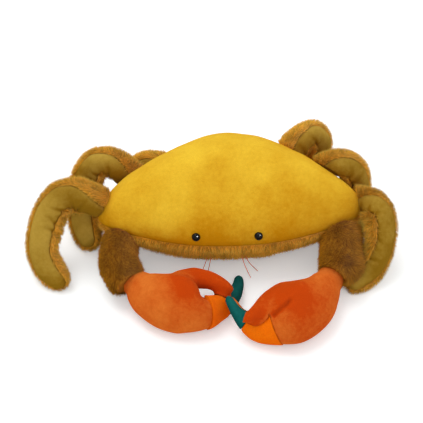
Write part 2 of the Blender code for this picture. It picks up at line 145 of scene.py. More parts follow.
CLAWS = {
    "left": (
        (-112, -92, 32, 20, 16), (-102, -100, 32, 23, 18), (-86, -119, 35, 34, 22), (-61, -135, 37, 41, 25),
        (-37, -142, 36, 40, 25), (-14, -147, 28, 27, 21), (5, -134, 20, 20, 17), (17, -123, 16, 16, 14),
        (27, -109, 13, 12, 12), (33, -96, 11, 10, 10), (37, -79, 9, 8, 8), (38, -64, 8, 6, 6),
    ),
    "right": (
        (168, -81, 33, 20, 16), (160, -95, 33, 23, 18), (150, -111, 35, 32, 22), (128, -142, 36, 43, 25),
        (103, -165, 33, 38, 25), (82, -170, 24, 25, 20), (63, -167, 20, 20, 16), (48, -161, 24, 14, 14),
        (35, -151, 31, 9, 10), (28, -142, 36, 7, 8), (24, -135, 39, 6, 6), (22, -129, 40, 4, 4),
    ),
}
THUMBS = {
    "left": (
        (-44, -104, 38, 14, 12), (-27, -96, 39, 16, 14), (-11, -97, 40, 16, 14), (4, -104, 41, 15, 13),
        (17, -110, 39, 13, 11), (26, -114, 36, 10, 9), (31, -117, 34, 6, 6),
    ),
    "right": (
        (132, -121, 39, 14, 13), (115, -119, 41, 17, 15), (96, -124, 44, 18, 16), (78, -140, 45, 18, 15),
        (63, -157, 45, 16, 13), (50, -170, 45, 12, 10), (43, -176, 44, 8, 7),
    ),
}
# Shares of the claw's length where the palm meets the middle segment and that meets the tip
CLAW_JOINS = {"left": (0.55, 0.70), "right": (0.59, 0.79)}

# The full root of the left thumb, where it swells out of the palm
THUMB_ROOT = (
    (-70, -119, 37, 16, 16), (-54, -110, 39, 21, 19), (-40, -103, 40, 21, 18), (-27, -98, 40, 17, 15),
    (-15, -98, 40, 14, 13),
)
# The fold between the right thumb and its palm
THUMB_FOLD = (
    (81, -173, 52), (85.6, -170.4, 56.7), (90.1, -168.2, 59.9), (93.5, -166, 61.8), (98.2, -163.6, 63.3),
    (103.1, -158.3, 65.3),
)
# Middles of the painted shade on the palms, and how far it reaches
PAINTED_SHADE_SPOTS = {"left": ((-32, -131, 61), 31.0), "right": ((112, -140, 58), 38.0)}

# Shares of each leg's length where a fold crosses its inner edge, and the fold's strength
LEG_FOLDS = {
    "leg_left_front": ((0.24, 1), (0.33, 1), (0.42, 1), (0.51, 1), (0.62, 1), (0.46, 0.5)),
    "leg_left_middle": ((0.14, 1), (0.30, 1), (0.40, 1), (0.50, 1), (0.62, 0.6)),
    "leg_left_rear": ((0.30, 1), (0.44, 1), (0.58, 0.8)),
    "leg_right_front": ((0.18, 1), (0.30, 1), (0.40, 1), (0.50, 1), (0.62, 1), (0.72, 0.7)),
    "leg_right_middle": ((0.22, 1), (0.36, 1), (0.48, 1), (0.60, 0.8)),
    "leg_right_rear": ((0.24, 1), (0.38, 1), (0.50, 1), (0.64, 0.8)),
}

# Steps across or around, and rows
SHELL_GRID, BELLY_GRID = (420, 78), (300, 44)
LEG_FACE_GRID, LEG_BACK_GRID = (36, 170), (44, 120)
CLAW_STEPS = 44

# Pile of the furs
STRAND_WIDTH = 0.85 * MM
STRAND_SUNK = 0.8 * MM
STRANDS_A_CLUMP = 26
PILE = {
    "belly": {"count": 34000, "clump": 0.3, "spread": 0.22, "lift": 0.45},
    "leg": {"count": 18000, "clump": 0.2, "spread": 0.35, "lift": 1.7},
    "arm": {"count": 25000, "clump": 0.45, "spread": 0.24, "lift": 0.8},
}

# Cloth simulation of the claw covers
VOXEL = 3.0 * MM
PRESSURE = 4.0
MOST_MOVE = 6.0 * MM
CLOTH_FRAMES = 20

# Colours (linear RGB): light and deep tone of a velour, mixed by random patches, by painted light on what
# faces up and by painted shade; root, middle and tip of a fur, the dark root being painted shade inside the
# pile
WHITE = (1.0, 1.0, 1.0)
MUSTARD = ((0.84, 0.53, 0.035), (0.58, 0.245, 0.001))
OLIVE = ((0.52, 0.335, 0.054), (0.25, 0.125, 0.005))
ORANGE = ((0.80, 0.245, 0.035), (0.53, 0.052, 0.001))
AMBER = ((0.93, 0.22, 0.003), (0.80, 0.115, 0.0005))
TEAL = ((0.008, 0.14, 0.125), (0.001, 0.050, 0.046))
BROWN = ((0.15, 0.042, 0.001), (0.40, 0.135, 0.004), (0.66, 0.28, 0.018))
CARAMEL = ((0.62, 0.23, 0.010), (0.88, 0.40, 0.028), (1.0, 0.60, 0.085))
CORAL = (0.80, 0.20, 0.09)
WASHER_WHITE = (0.80, 0.80, 0.78)
FLOOR_WHITE = (0.87, 0.90, 0.90)

# The photograph's view: image and focal length in pixels, sensor in millimetres, the rest in metres
IMAGE_WIDTH, FOCAL_PIXELS, SENSOR_WIDTH = 423.0, 1360.0, 36.0
ELEVATION = math.radians(45.0)
CAMERA_DISTANCE, AIM_DEPTH = 2.0, 0.072
# Strength of each lamp, its spread in degrees, and the way towards it
SUNS = {
    "key_light": (0.95, 35.0, (-0.30, 0.35, 1.0)),
    "fill_light": (0.35, 60.0, (0.2, -0.9, 0.8)),
    "glint_light": (15.0, 24.0, (0.56, -0.26, 0.79)),
}
WORLD_LIGHT, FLOOR_LIFT, FLOOR_HALF = 0.78, 0.30, 4.0


# Stage: camera, lamps and floor
def linked(name, data):
    """A new object of the scene around a mesh, curve, lamp or camera."""
    obj = bpy.data.objects.new(name, data)
    bpy.context.scene.collection.objects.link(obj)
    return obj


def make_stage():
    scene = bpy.context.scene
    scene.view_settings.view_transform = "Standard"
    ahead = Vector((0.0, math.cos(ELEVATION), -math.sin(ELEVATION)))
    lens = bpy.data.cameras.new("camera")
    lens.sensor_width = SENSOR_WIDTH
    lens.lens = FOCAL_PIXELS / IMAGE_WIDTH * SENSOR_WIDTH
    camera = linked("camera", lens)
    camera.location = Vector((0.0, AIM_DEPTH, 0.0)) - Vector(SHIFT) - ahead * CAMERA_DISTANCE
    camera.rotation_euler = ahead.to_track_quat("-Z", "Y").to_euler()
    scene.camera = camera

    world = bpy.data.worlds.new("studio")
    world.use_nodes = True
    tree = world.node_tree
    rays = [node(tree, "LightPath", {}, ray) for ray in ("Is Camera Ray", "Is Glossy Ray")]
    background = tree.nodes["Background"]
    feed(tree, background.inputs["Color"], WHITE)
    strength = ranged(tree, maths(tree, "MAXIMUM", *rays), 0.0, 1.0, WORLD_LIGHT, 1.0)
    feed(tree, background.inputs["Strength"], strength)
    scene.world = world

    for name, (strength, spread, towards) in SUNS.items():
        light = bpy.data.lights.new(name, "SUN")
        light.energy = strength
        light.angle = math.radians(spread)
        lamp = linked(name, light)
        lamp.rotation_euler = Vector(towards).to_track_quat("Z", "Y").to_euler()
        lamp.visible_diffuse = name != "glint_light"

    half = FLOOR_HALF
    corners = [(-half, -half, 0), (half, -half, 0), (half, half, 0), (-half, half, 0)]
    floor = fast_mesh("floor", corners, [(0, 1, 2), (0, 2, 3)])
    floor.data.materials.append(floor_material())


def floor_material():
    """Matt white, lifted a little for camera rays so that the floor meets the backdrop."""
    material = bpy.data.materials.new("floor_white")
    material.use_nodes = True
    tree = material.node_tree
    tree.nodes.clear()
    lift = maths(tree, "MULTIPLY", node(tree, "LightPath", {}, "Is Camera Ray"), FLOOR_LIFT)
    matt = node(tree, "BsdfDiffuse", {"Color": FLOOR_WHITE})
    both = node(tree, "AddShader", {0: matt, 1: node(tree, "Emission", {"Strength": lift})})
    tree.links.new(both, tree.nodes.new("ShaderNodeOutputMaterial").inputs["Surface"])
    return material


# Smooth random fields
def lattice(cells, seed):
    """Repeatable random numbers from 0 to 1 for rows of whole numbers."""
    bits = seed * 2654435
    for axis, prime in enumerate((73856093, 19349663, 83492791)):
        bits = (cells[..., axis] * prime) ^ bits
    bits = (bits ^ (bits >> 13)) * 1274126177
    bits = bits ^ (bits >> 16)
    return (bits & 0xFFFFFF) / float(0xFFFFFF)


def field(points, size, seed):
    """Smooth noise from -1 to 1 with features of about the size given."""
    place = np.asarray(points) / size
    cell = np.floor(place).astype(np.int64)
    share = place - cell
    share = share * share * (3.0 - 2.0 * share)
    total = 0.0
    for corner in np.ndindex(2, 2, 2):
        x, y, z = np.moveaxis(np.where(corner, share, 1 - share), -1, 0)
        total = total + x * y * z * lattice(cell + np.array(corner), seed)
    return total * 2.0 - 1.0


def layered(points, size, seed):
    """Noise with a second layer of half the size and half the strength."""
    return field(points, size, seed) + 0.5 * field(points, size / 2, seed + 17)


def bell(away, width):
    """1 at no distance, falling smoothly to 0 over about the width."""
    return np.exp(-((away / width) ** 2))


def unit(vectors):
    return vectors / np.maximum(np.linalg.norm(vectors, axis=-1, keepdims=True), 1e-12)


# Meshes
def fast_mesh(name, points, triangles):
    """Mesh object from points and triangles, shaded smooth."""
    mesh = bpy.data.meshes.new(name)
    mesh.vertices.add(len(points))
    mesh.vertices.foreach_set("co", np.ascontiguousarray(points, np.float32).ravel())
    mesh.loops.add(len(triangles) * 3)
    mesh.loops.foreach_set("vertex_index", np.ascontiguousarray(triangles, np.int32).ravel())
    mesh.polygons.add(len(triangles))
    mesh.polygons.foreach_set("loop_start", np.arange(0, len(triangles) * 3, 3, dtype=np.int32))
    mesh.update(calc_edges=True)
    mesh.polygons.foreach_set("use_smooth", np.ones(len(triangles), dtype=bool))
    mesh.update()
    return linked(name, mesh)


def solid(grid):
    """Points and triangles of a closed solid over a grid of rings, with a middle point at each end."""
    rows, columns = grid.shape[:2]
    points = np.concatenate([grid.reshape(-1, 3), grid[[0, -1]].mean(axis=1)])
    row, column = np.meshgrid(np.arange(rows - 1), np.arange(columns), indexing="ij")
    a, b = row * columns + column, row * columns + (column + 1) % columns
    c, d = a + columns, b + columns
    triangles = [np.stack(corners, -1).reshape(-1, 3) for corners in ((a, b, d), (a, d, c))]
    for row, middle, order in ((0, rows * columns, -1), (rows - 1, rows * columns + 1, 1)):
        ring = row * columns + np.arange(columns)
        fan = np.stack([ring, np.roll(ring, -1), np.full(columns, middle)], -1)
        triangles.append(fan[:, ::order])
    triangles = np.concatenate(triangles)
    a, b, c = (points[triangles[:, i]] for i in range(3))
    inside_out = np.einsum("ij,ij->i", a, np.cross(b, c)).sum() <= 0
    return points, triangles[:, ::-1] if inside_out else triangles


def round_angles(count, start=0.0):
    return start + np.arange(count) * 2 * math.pi / count


def put_attribute(obj, name, values):
    attribute = obj.data.attributes.new(name, "FLOAT", "POINT")
    attribute.data.foreach_set("value", np.ascontiguousarray(values, np.float32))


def put_seams(obj, **values):
    """Attributes of a solid over a grid of rings, none at its two middle points."""
    for name, grid in values.items():
        put_attribute(obj, name, np.concatenate([grid.ravel(), [0.0, 0.0]]))


def applied(obj):
    """Applies the object's modifiers and shades it smooth."""
    graph = bpy.context.evaluated_depsgraph_get()
    mesh = bpy.data.meshes.new_from_object(obj.evaluated_get(graph))
    old = obj.data
    obj.modifiers.clear()
    obj.data = mesh
    bpy.data.meshes.remove(old)
    mesh.polygons.foreach_set("use_smooth", np.ones(len(mesh.polygons), dtype=bool))


def cut_by(obj, *cutters):
    for cutter in cutters:
        cut = obj.modifiers.new("cut", "BOOLEAN")
        cut.operation = "DIFFERENCE"
        cut.solver = "EXACT"
        cut.object = cutter
    applied(obj)


def make_cutter(name, grid, lift=0.0):
    """Hidden solid over a grid of rings, grown by the lift."""
    points, triangles = solid(grid)
    cutter = fast_mesh(name, points + vertex_normals(points, triangles) * lift, triangles)
    cutter.hide_render = True
    return cutter


def mesh_arrays(obj):
    mesh = obj.data
    mesh.calc_loop_triangles()
    points = np.empty(len(mesh.vertices) * 3, np.float32)
    mesh.vertices.foreach_get("co", points)
    triangles = np.empty(len(mesh.loop_triangles) * 3, np.int32)
    mesh.loop_triangles.foreach_get("vertices", triangles)
    return points.reshape(-1, 3).astype(np.float64), triangles.reshape(-1, 3)


def taken_arrays(obj):
    """The object's points and triangles; the object itself goes."""
    arrays = mesh_arrays(obj)
    bpy.data.objects.remove(obj, do_unlink=True)
    return arrays


def vertex_normals(points, triangles):
    a, b, c = (points[triangles[:, i]] for i in range(3))
    flat = np.cross(b - a, c - a)
    total = np.zeros_like(points)
    for i in range(3):
        np.add.at(total, triangles[:, i], flat)
    return unit(total)


def closest(points, centres):
    """Index of the nearest centre to each point, by blocks."""
    found = np.empty(len(points), int)
    block = 4000
    for start in range(0, len(points), block):
        part = points[start:start + block]
        gaps = (part**2).sum(1)[:, None] - 2 * part @ centres.T + (centres**2).sum(1)[None]
        found[start:start + block] = gaps.argmin(1)
    return found


def nearness(points, lines, width):
    """1 on the lines, falling to 0 over about the width; lines are arrays of closely spaced points."""
    line = np.concatenate(lines)
    return bell(np.linalg.norm(points - line[closest(points, line)], axis=1), width)


# Curves through control rows
def smooth_rows(rows, at):
    """Smooth curve through the rows, at an array of positions counted in rows."""
    rows = np.asarray(rows, float)
    index = np.clip(at.astype(int), 0, len(rows) - 2)
    t = (at - index)[:, None]
    a, b = rows[np.maximum(index - 1, 0)], rows[index]
    c, d = rows[index + 1], rows[np.minimum(index + 2, len(rows) - 1)]
    square, cube = 2 * a - 5 * b + 4 * c - d, 3 * b - a - 3 * c + d
    return 0.5 * (2 * b + (c - a) * t + square * t**2 + cube * t**3)


class Limb:
    """A stuffed limb along a centre line of x, y, z, half width and half thickness."""

    def __init__(self, rows, facing, turns=(), side=1):
        self.turns, self.side = turns, side
        self.rows = np.asarray(rows, float) * MM
        self.rows[:, :3] -= SHIFT
        self.facing = unit(np.asarray(facing, float))
        fine = 16 * (len(rows) - 1)
        self.positions = np.arange(fine + 1) * (len(rows) - 1) / fine
        points = smooth_rows(self.rows, self.positions)[:, :3]
        steps = np.linalg.norm(np.diff(points, axis=0), axis=1)
        self.lengths = np.concatenate([[0.0], np.cumsum(steps)])
        self.length = self.lengths[-1]

    def place(self, shares):
        return np.interp(np.clip(shares, 0, 1) * self.length, self.lengths, self.positions)

    def frames(self, shares):
        """Centres, width directions, thickness directions, ahead directions and half sizes."""
        shares = np.asarray(shares, float)
        values = smooth_rows(self.rows, self.place(shares))
        ahead = smooth_rows(self.rows, self.place(shares + 0.01))[:, :3]
        behind = smooth_rows(self.rows, self.place(shares - 0.01))[:, :3]
        along = unit(ahead - behind)
        across = unit(np.cross(along, self.facing))
        out = unit(np.cross(across, along))
        return values[:, :3], across, out, along, values[:, 3], values[:, 4]

    def turn(self, shares):
        if not self.turns:
            return np.zeros(len(shares))
        at, degrees = zip(*self.turns)
        return self.side * np.radians(np.interp(shares, at, degrees))

    def grid(self, shares, angles, swell=None, lift=0.0, round_end=0.0):
        """Grid of surface points; swell(shares, angles, turns, points) gives extra height off them."""
        centre, across, out, _, wide, thick = self.frames(shares)
        taper = np.ones(len(shares))
        if round_end:
            left = np.clip((shares - (1 - round_end)) / round_end, 0, 1)
            taper = np.sqrt(np.maximum(1 - left**2, 0.0025))
        wide, thick = (wide * taper)[:, None], (thick * taper)[:, None]
        turn = self.turn(shares)[:, None]
        angles = angles[None] + turn
        cosine, sine = np.cos(angles), np.sin(angles)
        across, out = across[:, None], out[:, None]
        lifted = out * np.cos(turn)[..., None] - across * np.sin(turn)[..., None]
        points = centre[:, None] + across * (wide * cosine)[..., None] + out * (thick * sine)[..., None]
        points = points + lifted * lift
        if swell is not None:
            normal = unit(across * (cosine / wide)[..., None] + out * (sine / thick)[..., None])
            points = points + normal * swell(shares[:, None], angles, turn, points)[..., None]
        return points


# Body shape
def body_table():
    """Points of the body outline at even steps of its angle, front middle first."""
    (x_first, y_first), (x_last, y_last) = HALF_OUTLINE[1], HALF_OUTLINE[-2]
    mirrored = ((-x_first, y_first), *HALF_OUTLINE, (-x_last, y_last))
    turns = np.linspace(0, 2 * math.pi, 1441)
    share = np.where(turns <= math.pi, turns, 2 * math.pi - turns) / math.pi
    xy = smooth_rows(mirrored, 1 + share * (len(HALF_OUTLINE) - 1)) * MM
    xy[:, 0] *= np.where(turns <= math.pi, 1, -1)
    return turns, xy


TURNS, OUTLINE = body_table()


def body_point(angles, reach, height):
    turn = np.mod(np.asarray(angles) + math.pi / 2, 2 * math.pi)
    x, y = (np.interp(turn, TURNS, OUTLINE[:, axis]) * reach for axis in (0, 1))
    cosine, sine = math.cos(BODY_YAW), math.sin(BODY_YAW)
    px = BODY_CENTRE[0] - SHIFT[0] + x * cosine - y * sine
    py = BODY_CENTRE[1] - SHIFT[1] + x * sine + y * cosine
    return np.stack([px, py, np.broadcast_to(height, px.shape)], -1)


def shell_point(angles, rise):
    turn = np.asarray(rise) * math.pi / 2
    power = 2 / SHELL_FULLNESS
    return body_point(angles, np.cos(turn) ** power, SEAM_HEIGHT + SHELL_RISE * np.sin(turn) ** power)


def arch(share, fullness):
    return np.maximum(1 - np.asarray(share) ** fullness, 0) ** (1 / fullness)


def belly_reach(drop):
    return BELLY_REST + (1 - BELLY_REST) * arch(drop, BELLY_FULLNESS)


def belly_point(angles, drop):
    return body_point(angles, belly_reach(drop), SEAM_HEIGHT * (1 - np.asarray(drop)))


def outside_body(points, margin):
    """Whether each point is clear of the body by about the margin."""
    away = points[:, :2] - (BODY_CENTRE - SHIFT)[:2]
    cosine, sine = math.cos(-BODY_YAW), math.sin(-BODY_YAW)
    x = away[:, 0] * cosine - away[:, 1] * sine
    y = away[:, 0] * sine + away[:, 1] * cosine
    polar = np.arctan2(OUTLINE[:-1, 1], OUTLINE[:-1, 0])
    order = np.argsort(polar)
    radius = np.linalg.norm(OUTLINE[:-1], axis=1)
    edge = np.interp(np.arctan2(y, x), polar[order], radius[order], period=2 * math.pi)
    z = points[:, 2]
    high = arch(np.clip((z - SEAM_HEIGHT) / SHELL_RISE, 0, 1), SHELL_FULLNESS)
    low = belly_reach(np.clip(1 - z / SEAM_HEIGHT, 0, 1))
    return np.hypot(x, y) - np.where(z >= SEAM_HEIGHT, high, low) * edge > margin


def grid_normals(points):
    """Normals of a grid of rings, by differences."""
    sideways = np.roll(points, -1, axis=1) - np.roll(points, 1, axis=1)
    return unit(np.cross(sideways, np.gradient(points, axis=0)))


# Materials
def feed(tree, socket, value):
    """Gives a socket a number or colour, or links another node's output to it."""
    if isinstance(value, bpy.types.NodeSocket):
        tree.links.new(value, socket)
    else:
        socket.default_value = (*value, 1.0) if socket.type == "RGBA" else value


def node(tree, kind, inputs, output=0, **settings):
    """One output of a new shader node with the inputs and settings given."""
    made = tree.nodes.new("ShaderNode" + kind)
    for name, value in settings.items():
        setattr(made, name, value)
    for name, value in inputs.items():
        feed(tree, made.inputs[name], value)
    return made.outputs[output]


def noise(tree, place, scale, detail=2.0, roughness=0.55):
    values = {"Vector": place, "Scale": scale, "Detail": detail, "Roughness": roughness}
    return node(tree, "TexNoise", values, "Fac")


def ranged(tree, value, low, high, to_low=0.0, to_high=1.0):
    ends = {"From Min": low, "From Max": high, "To Min": to_low, "To Max": to_high}
    return node(tree, "MapRange", {"Value": value, **ends}, "Result")


def maths(tree, operation, first, second):
    return node(tree, "Math", {0: first, 1: second}, operation=operation)


def mixed(tree, share, first, second, blend="MIX"):
    values = {"Factor": share, "A": first, "B": second}
    return node(tree, "Mix", values, "Result", data_type="RGBA", blend_type=blend)


def stored(tree, name):
    return node(tree, "Attribute", {}, "Fac", attribute_name=name)


def toned(tree, colour, tone):
    """The colour made darker or lighter by a factor."""
    return mixed(tree, 1.0, colour, grey(tree, tone), "MULTIPLY")


def grey(tree, value):
    return node(tree, "CombineColor", {0: value, 1: value, 2: value})


def add_bump(tree, shader, height, strength, distance):
    values = {"Strength": strength, "Distance": distance, "Height": height}
    tree.links.new(node(tree, "Bump", values, "Normal"), shader.inputs["Normal"])


def principled(name, roughness, specular, sheen=0.0, tint=WHITE, sheen_roughness=0.4):
    """A material, its shader, its node tree and the place on the object."""
    material = bpy.data.materials.new(name)
    material.use_nodes = True
    tree = material.node_tree
    shader = tree.nodes["Principled BSDF"]
    shader.inputs["Roughness"].default_value = roughness
    shader.inputs["Specular IOR Level"].default_value = specular
    shader.inputs["Sheen Weight"].default_value = sheen
    shader.inputs["Sheen Roughness"].default_value = sheen_roughness
    shader.inputs["Sheen Tint"].default_value = (*tint, 1.0)
    return material, shader, tree, node(tree, "TexCoord", {}, "Object")


def velour(name, colours, painted_top_light, mottle, seed=0.0, base=0.0):
    """Short pile cloth: soft patches where the pile lies differently, fine grain, painted shade along seams
    and in folds.

    The top light argument paints light onto what faces up, mottle is the strength of the patches, and base
    lightens it all.
    """
    light, deep = colours
    material, shader, tree, place = principled(
        name, roughness=0.95, specular=0.02, sheen=0.42, tint=light, sheen_roughness=0.45)
    place = node(tree, "Mapping", {"Vector": place, "Location": (seed, seed * 0.7, -seed)}, "Vector")
    patches = ranged(tree, noise(tree, place, 14.0, 2.0, 0.4), 0.34, 0.66)
    clouds = ranged(tree, noise(tree, place, 48.0, 3.0, 0.55), 0.32, 0.68, -0.08, 0.08)
    streaks = ranged(tree, noise(tree, place, 190.0, 3.0, 0.65), 0.30, 0.70, -0.11, 0.11)
    grain = noise(tree, place, 1600.0, 2.0, 0.7)
    normal = node(tree, "NewGeometry", {}, "Normal")
    upward = ranged(tree, node(tree, "SeparateXYZ", {0: normal}, "Z"), 0.0, 1.0)
    share = maths(tree, "ADD", maths(tree, "MULTIPLY", patches, mottle), maths(tree, "ADD", clouds, streaks))
    # Painted light: what faces up is mixed towards the light tone
    share = maths(tree, "ADD", share, maths(tree, "MULTIPLY", upward, painted_top_light))
    share = maths(tree, "SUBTRACT", share, mottle * 0.5 - base)
    # Painted shade: the folds of the legs, the palms' middles and the places round the thumbs are mixed
    # towards the deep tone
    share = maths(tree, "SUBTRACT", share, maths(tree, "MULTIPLY", stored(tree, "pressed"), 0.70))
    colour = mixed(tree, node(tree, "Clamp", {"Value": share}), deep, light)
    colour = toned(tree, colour, ranged(tree, grain, 0.25, 0.75, 0.80, 1.16))
    # Painted shade: seam lines and the deepest folds are darkened nearly to black
    seam = maths(tree, "MULTIPLY", stored(tree, "seam"), 0.75)
    colour = mixed(tree, seam, colour, tuple(part * 0.16 for part in deep))
    feed(tree, shader.inputs["Base Color"], colour)
    height = maths(tree, "ADD", maths(tree, "MULTIPLY", grain, 0.6), maths(tree, "MULTIPLY", streaks, 0.8))
    add_bump(tree, shader, height, 0.55, 0.7 * MM)
    return name, material


def fur(name, colours, seed=0.0):
    """Long pile: each strand has its own tint and runs from a dark root, painted shade deep in the pile, to
    a pale tip.
    """
    root, middle, tip = colours
    material, shader, tree, place = principled(
        name, roughness=0.75, specular=0.06, sheen=0.15, tint=tip, sheen_roughness=0.5)
    along, tint = stored(tree, "along"), stored(tree, "tint")
    colour = mixed(tree, ranged(tree, along, 0.0, 0.55), root, middle)
    colour = mixed(tree, ranged(tree, along, 0.45, 1.0), colour, tip)
    patches = ranged(tree, noise(tree, place, 45.0 + seed), 0.3, 0.7, 0.78, 1.18)
    tone = maths(tree, "MULTIPLY", ranged(tree, tint, 0.0, 1.0, 0.55, 1.35), patches)
    feed(tree, shader.inputs["Base Color"], toned(tree, colour, tone))
    return name, material


def plain(name, colour, roughness, specular):
    """Yarn and plastic: one colour with a fine grain."""
    material, shader, tree, place = principled(name, roughness, specular)
    grain = noise(tree, place, 900.0)
    feed(tree, shader.inputs["Base Color"], toned(tree, colour, ranged(tree, grain, 0.3, 0.7, 0.85, 1.12)))
    add_bump(tree, shader, grain, 0.4, 0.3 * MM)
    return material


def bead_gloss():
    material, shader, tree, place = principled("bead_gloss", roughness=0.08, specular=0.12)
    tone = ranged(tree, noise(tree, place, 300.0), 0.3, 0.7, 0.003, 0.007)
    feed(tree, shader.inputs["Base Color"], grey(tree, tone))
    return material


def dress(obj, material):
    obj.data.materials.clear()
    obj.data.materials.append(material)


def finish_piece(piece, fabric, fill, *nodes):
    """Dresses a stuffed piece; fabric is the record's slot, which is not used, and the material."""
    slot, material = fabric
    dress(piece, material)
    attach(piece, "root")
    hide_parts(*nodes)


# Whisker threads
def thread_route(angle, tip):
    """Points from just off the belly, bowing outwards, to the loose end."""
    step = 0.02
    root = belly_point(angle, THREAD_DROP)
    sideways = belly_point(angle + step, THREAD_DROP) - root
    downwards = belly_point(angle, THREAD_DROP + step) - root
    out = unit(np.cross(downwards, sideways))
    start = root + out * GAP
    bend = start + out * THREAD_BOW
    end = np.asarray(tip) * MM - SHIFT
    shares = [i / (THREAD_POINTS - 1) for i in range(THREAD_POINTS)]
    return [start * (1 - t) ** 2 + bend * (2 * t * (1 - t)) + end * t**2 for t in shares]


def make_threads():
    coral = plain("thread_coral", CORAL, roughness=0.75, specular=0.2)
    for name, (angle, tip) in THREADS.items():
        points = thread_route(math.radians(angle), tip)
        curve = bpy.data.curves.new(name + "_yarn", "CURVE")
        curve.dimensions = "3D"
        line = curve.splines.new("POLY")
        line.points.add(len(points) - 1)
        for slot, point in zip(line.points, points):
            slot.co = (*point, 1.0)
        curve.bevel_depth = THREAD_DIAMETER / 2
        curve.bevel_resolution = 3
        curve.use_fill_caps = True
        yarn = linked(name + "_yarn", curve)
        curve.materials.append(coral)
        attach(yarn, "root")
        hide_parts(name)


# Shell
def make_shell(fabric):
    angles = round_angles(SHELL_GRID[0], -math.pi / 2)
    rises = np.linspace(0.0, 1.0, SHELL_GRID[1]) ** 1.25 * SHELL_TOP
    grid = shell_point(angles[None], rises[:, None]) + np.array((0.0, 0.0, GAP))
    level = grid[..., 2] - SEAM_HEIGHT
    x, y = grid[..., 0], grid[..., 1]
    around = np.arctan2(y - y.mean(), x - x.mean())
    tuck = -3.0 * MM * np.exp(-level / (4.5 * MM))
    wave = field(np.stack([around * 9.0, np.full_like(around, 3.0), np.zeros_like(around)], -1), 0.55, 11)
    pucker = 2.3 * MM * wave * np.exp(-level / (15.0 * MM)) * (1 - np.exp(-level / (4.0 * MM)))
    uneven = 2.2 * MM * layered(grid, 85.0 * MM, 5) + 0.5 * MM * field(grid, 22.0 * MM, 8)
    height = tuck + pucker + uneven * np.clip(level / (10.0 * MM), 0, 1) - 0.6 * MM
    grid = grid + grid_normals(grid) * height[..., None]

    inner = body_point(angles, INNER_RIM, SEAM_HEIGHT + GAP)
    points, triangles = solid(np.concatenate([inner[None], grid]))
    shell = fast_mesh("shell_cover", points, triangles)
    # Painted shade: the shell darkens towards its seam with the belly, where it tucks in
    put_attribute(shell, "seam", np.exp(-np.clip(points[:, 2] - SEAM_HEIGHT, 0, None) / (1.6 * MM)))
    finish_piece(shell, fabric, 0.9, "carapace")


# Fur
def strands(cloth, seed, rules, count, clump, spread, lift, weight=None):
    """Closed thin pyramids rooted on the cloth: points, triangles, share along each, tint, normals.

    rules are comb(roots), the way that the pile lies, keep(roots) and length(roots). clump pulls tips
    to shared centres, spread scatters them, lift stands them up, weight(places) is the pile's density.
    """
    comb, keep, length = rules
    skin, faces = cloth
    normals = vertex_normals(skin, faces)
    rng = np.random.default_rng(seed)
    a, b, c = (skin[faces[:, i]] for i in range(3))
    area = np.linalg.norm(np.cross(b - a, c - a), axis=1) / 2
    if weight is not None:
        area = area * weight((a + b + c) / 3)
    picked = rng.choice(len(area), size=count, p=area / area.sum())
    u, v = rng.random(count), rng.random(count)
    over = u + v > 1
    u[over], v[over] = 1 - u[over], 1 - v[over]
    u, v = u[:, None], v[:, None]
    root = a[picked] * (1 - u - v) + b[picked] * u + c[picked] * v
    na, nb, nc = (normals[faces[picked, i]] for i in range(3))
    up = unit(na * (1 - u - v) + nb * u + nc * v)
    kept = keep(root)
    root, up = root[kept], up[kept]
    count = len(root)

    lie = comb(root)
    lie = unit(lie - up * np.einsum("ij,ij->i", lie, up)[:, None])
    swirl = np.stack([field(root, 26 * MM, seed + i) for i in (1, 2, 3)], -1) * 0.7
    aim = unit(up * lift + lie + swirl + rng.normal(size=(count, 3)) * spread)
    tip = root + aim * (length(root) * (0.7 + 0.5 * rng.random(count)))[:, None]
    centres = root[rng.choice(count, size=max(count // STRANDS_A_CLUMP, 4), replace=False)]
    middle = centres[closest(root, centres)]
    away = np.linalg.norm(middle - root, axis=1, keepdims=True)
    pull = clump * bell(away, 7.0 * MM)
    tip = tip * (1 - pull) + (middle + (tip - root) * 0.95) * pull

    direction = unit(tip - root)
    side = unit(np.cross(direction, up + rng.normal(size=(count, 3)) * 0.2))
    other = np.cross(direction, side)
    turn = rng.random(count)[:, None] * 2 * math.pi
    radius = STRAND_WIDTH / 2 * (0.75 + 0.5 * rng.random(count))[:, None]
    start = root - direction * STRAND_SUNK
    turns = [turn + k * 2 * math.pi / 3 for k in range(3)]
    ways = [side * np.cos(at) + other * np.sin(at) for at in turns]
    points = np.stack([*(start + way * radius for way in ways), tip], 1).reshape(-1, 3)
    pattern = np.array((0, 2, 1, 0, 1, 3, 1, 2, 3, 2, 0, 3))
    triangles = (np.arange(count)[:, None] * 4 + pattern[None]).reshape(-1, 3)
    along = np.tile([0.0, 0.0, 0.0, 1.0], count)
    tint = np.repeat(rng.random(count), 4)
    shading = unit(up[:, None] + 0.45 * np.stack([*ways, up], 1)).reshape(-1, 3)
    return points, triangles, along, tint, shading


def make_furry(name, cloth, pile, fabric, fill, node_name, lowest=0.5 * MM):
    """One piece: the backing cloth and its strands, none below the surface that the toy stands on."""
    points, triangles = cloth
    tips, faces, along, tint, shading = pile
    tips[:, 2] = np.maximum(tips[:, 2], lowest)
    piece = fast_mesh(name, np.concatenate([points, tips]), np.concatenate([triangles, faces + len(points)]))
    normals = np.concatenate([vertex_normals(points, triangles), shading])
    piece.data.normals_split_custom_set_from_vertices(normals)
    # Painted shade: the backing cloth under the strands takes a darker colour near that of the roots
    put_attribute(piece, "along", np.concatenate([np.full(len(points), 0.45), along]))
    put_attribute(piece, "tint", np.concatenate([np.full(len(points), 0.35), tint]))
    finish_piece(piece, fabric, fill, node_name)


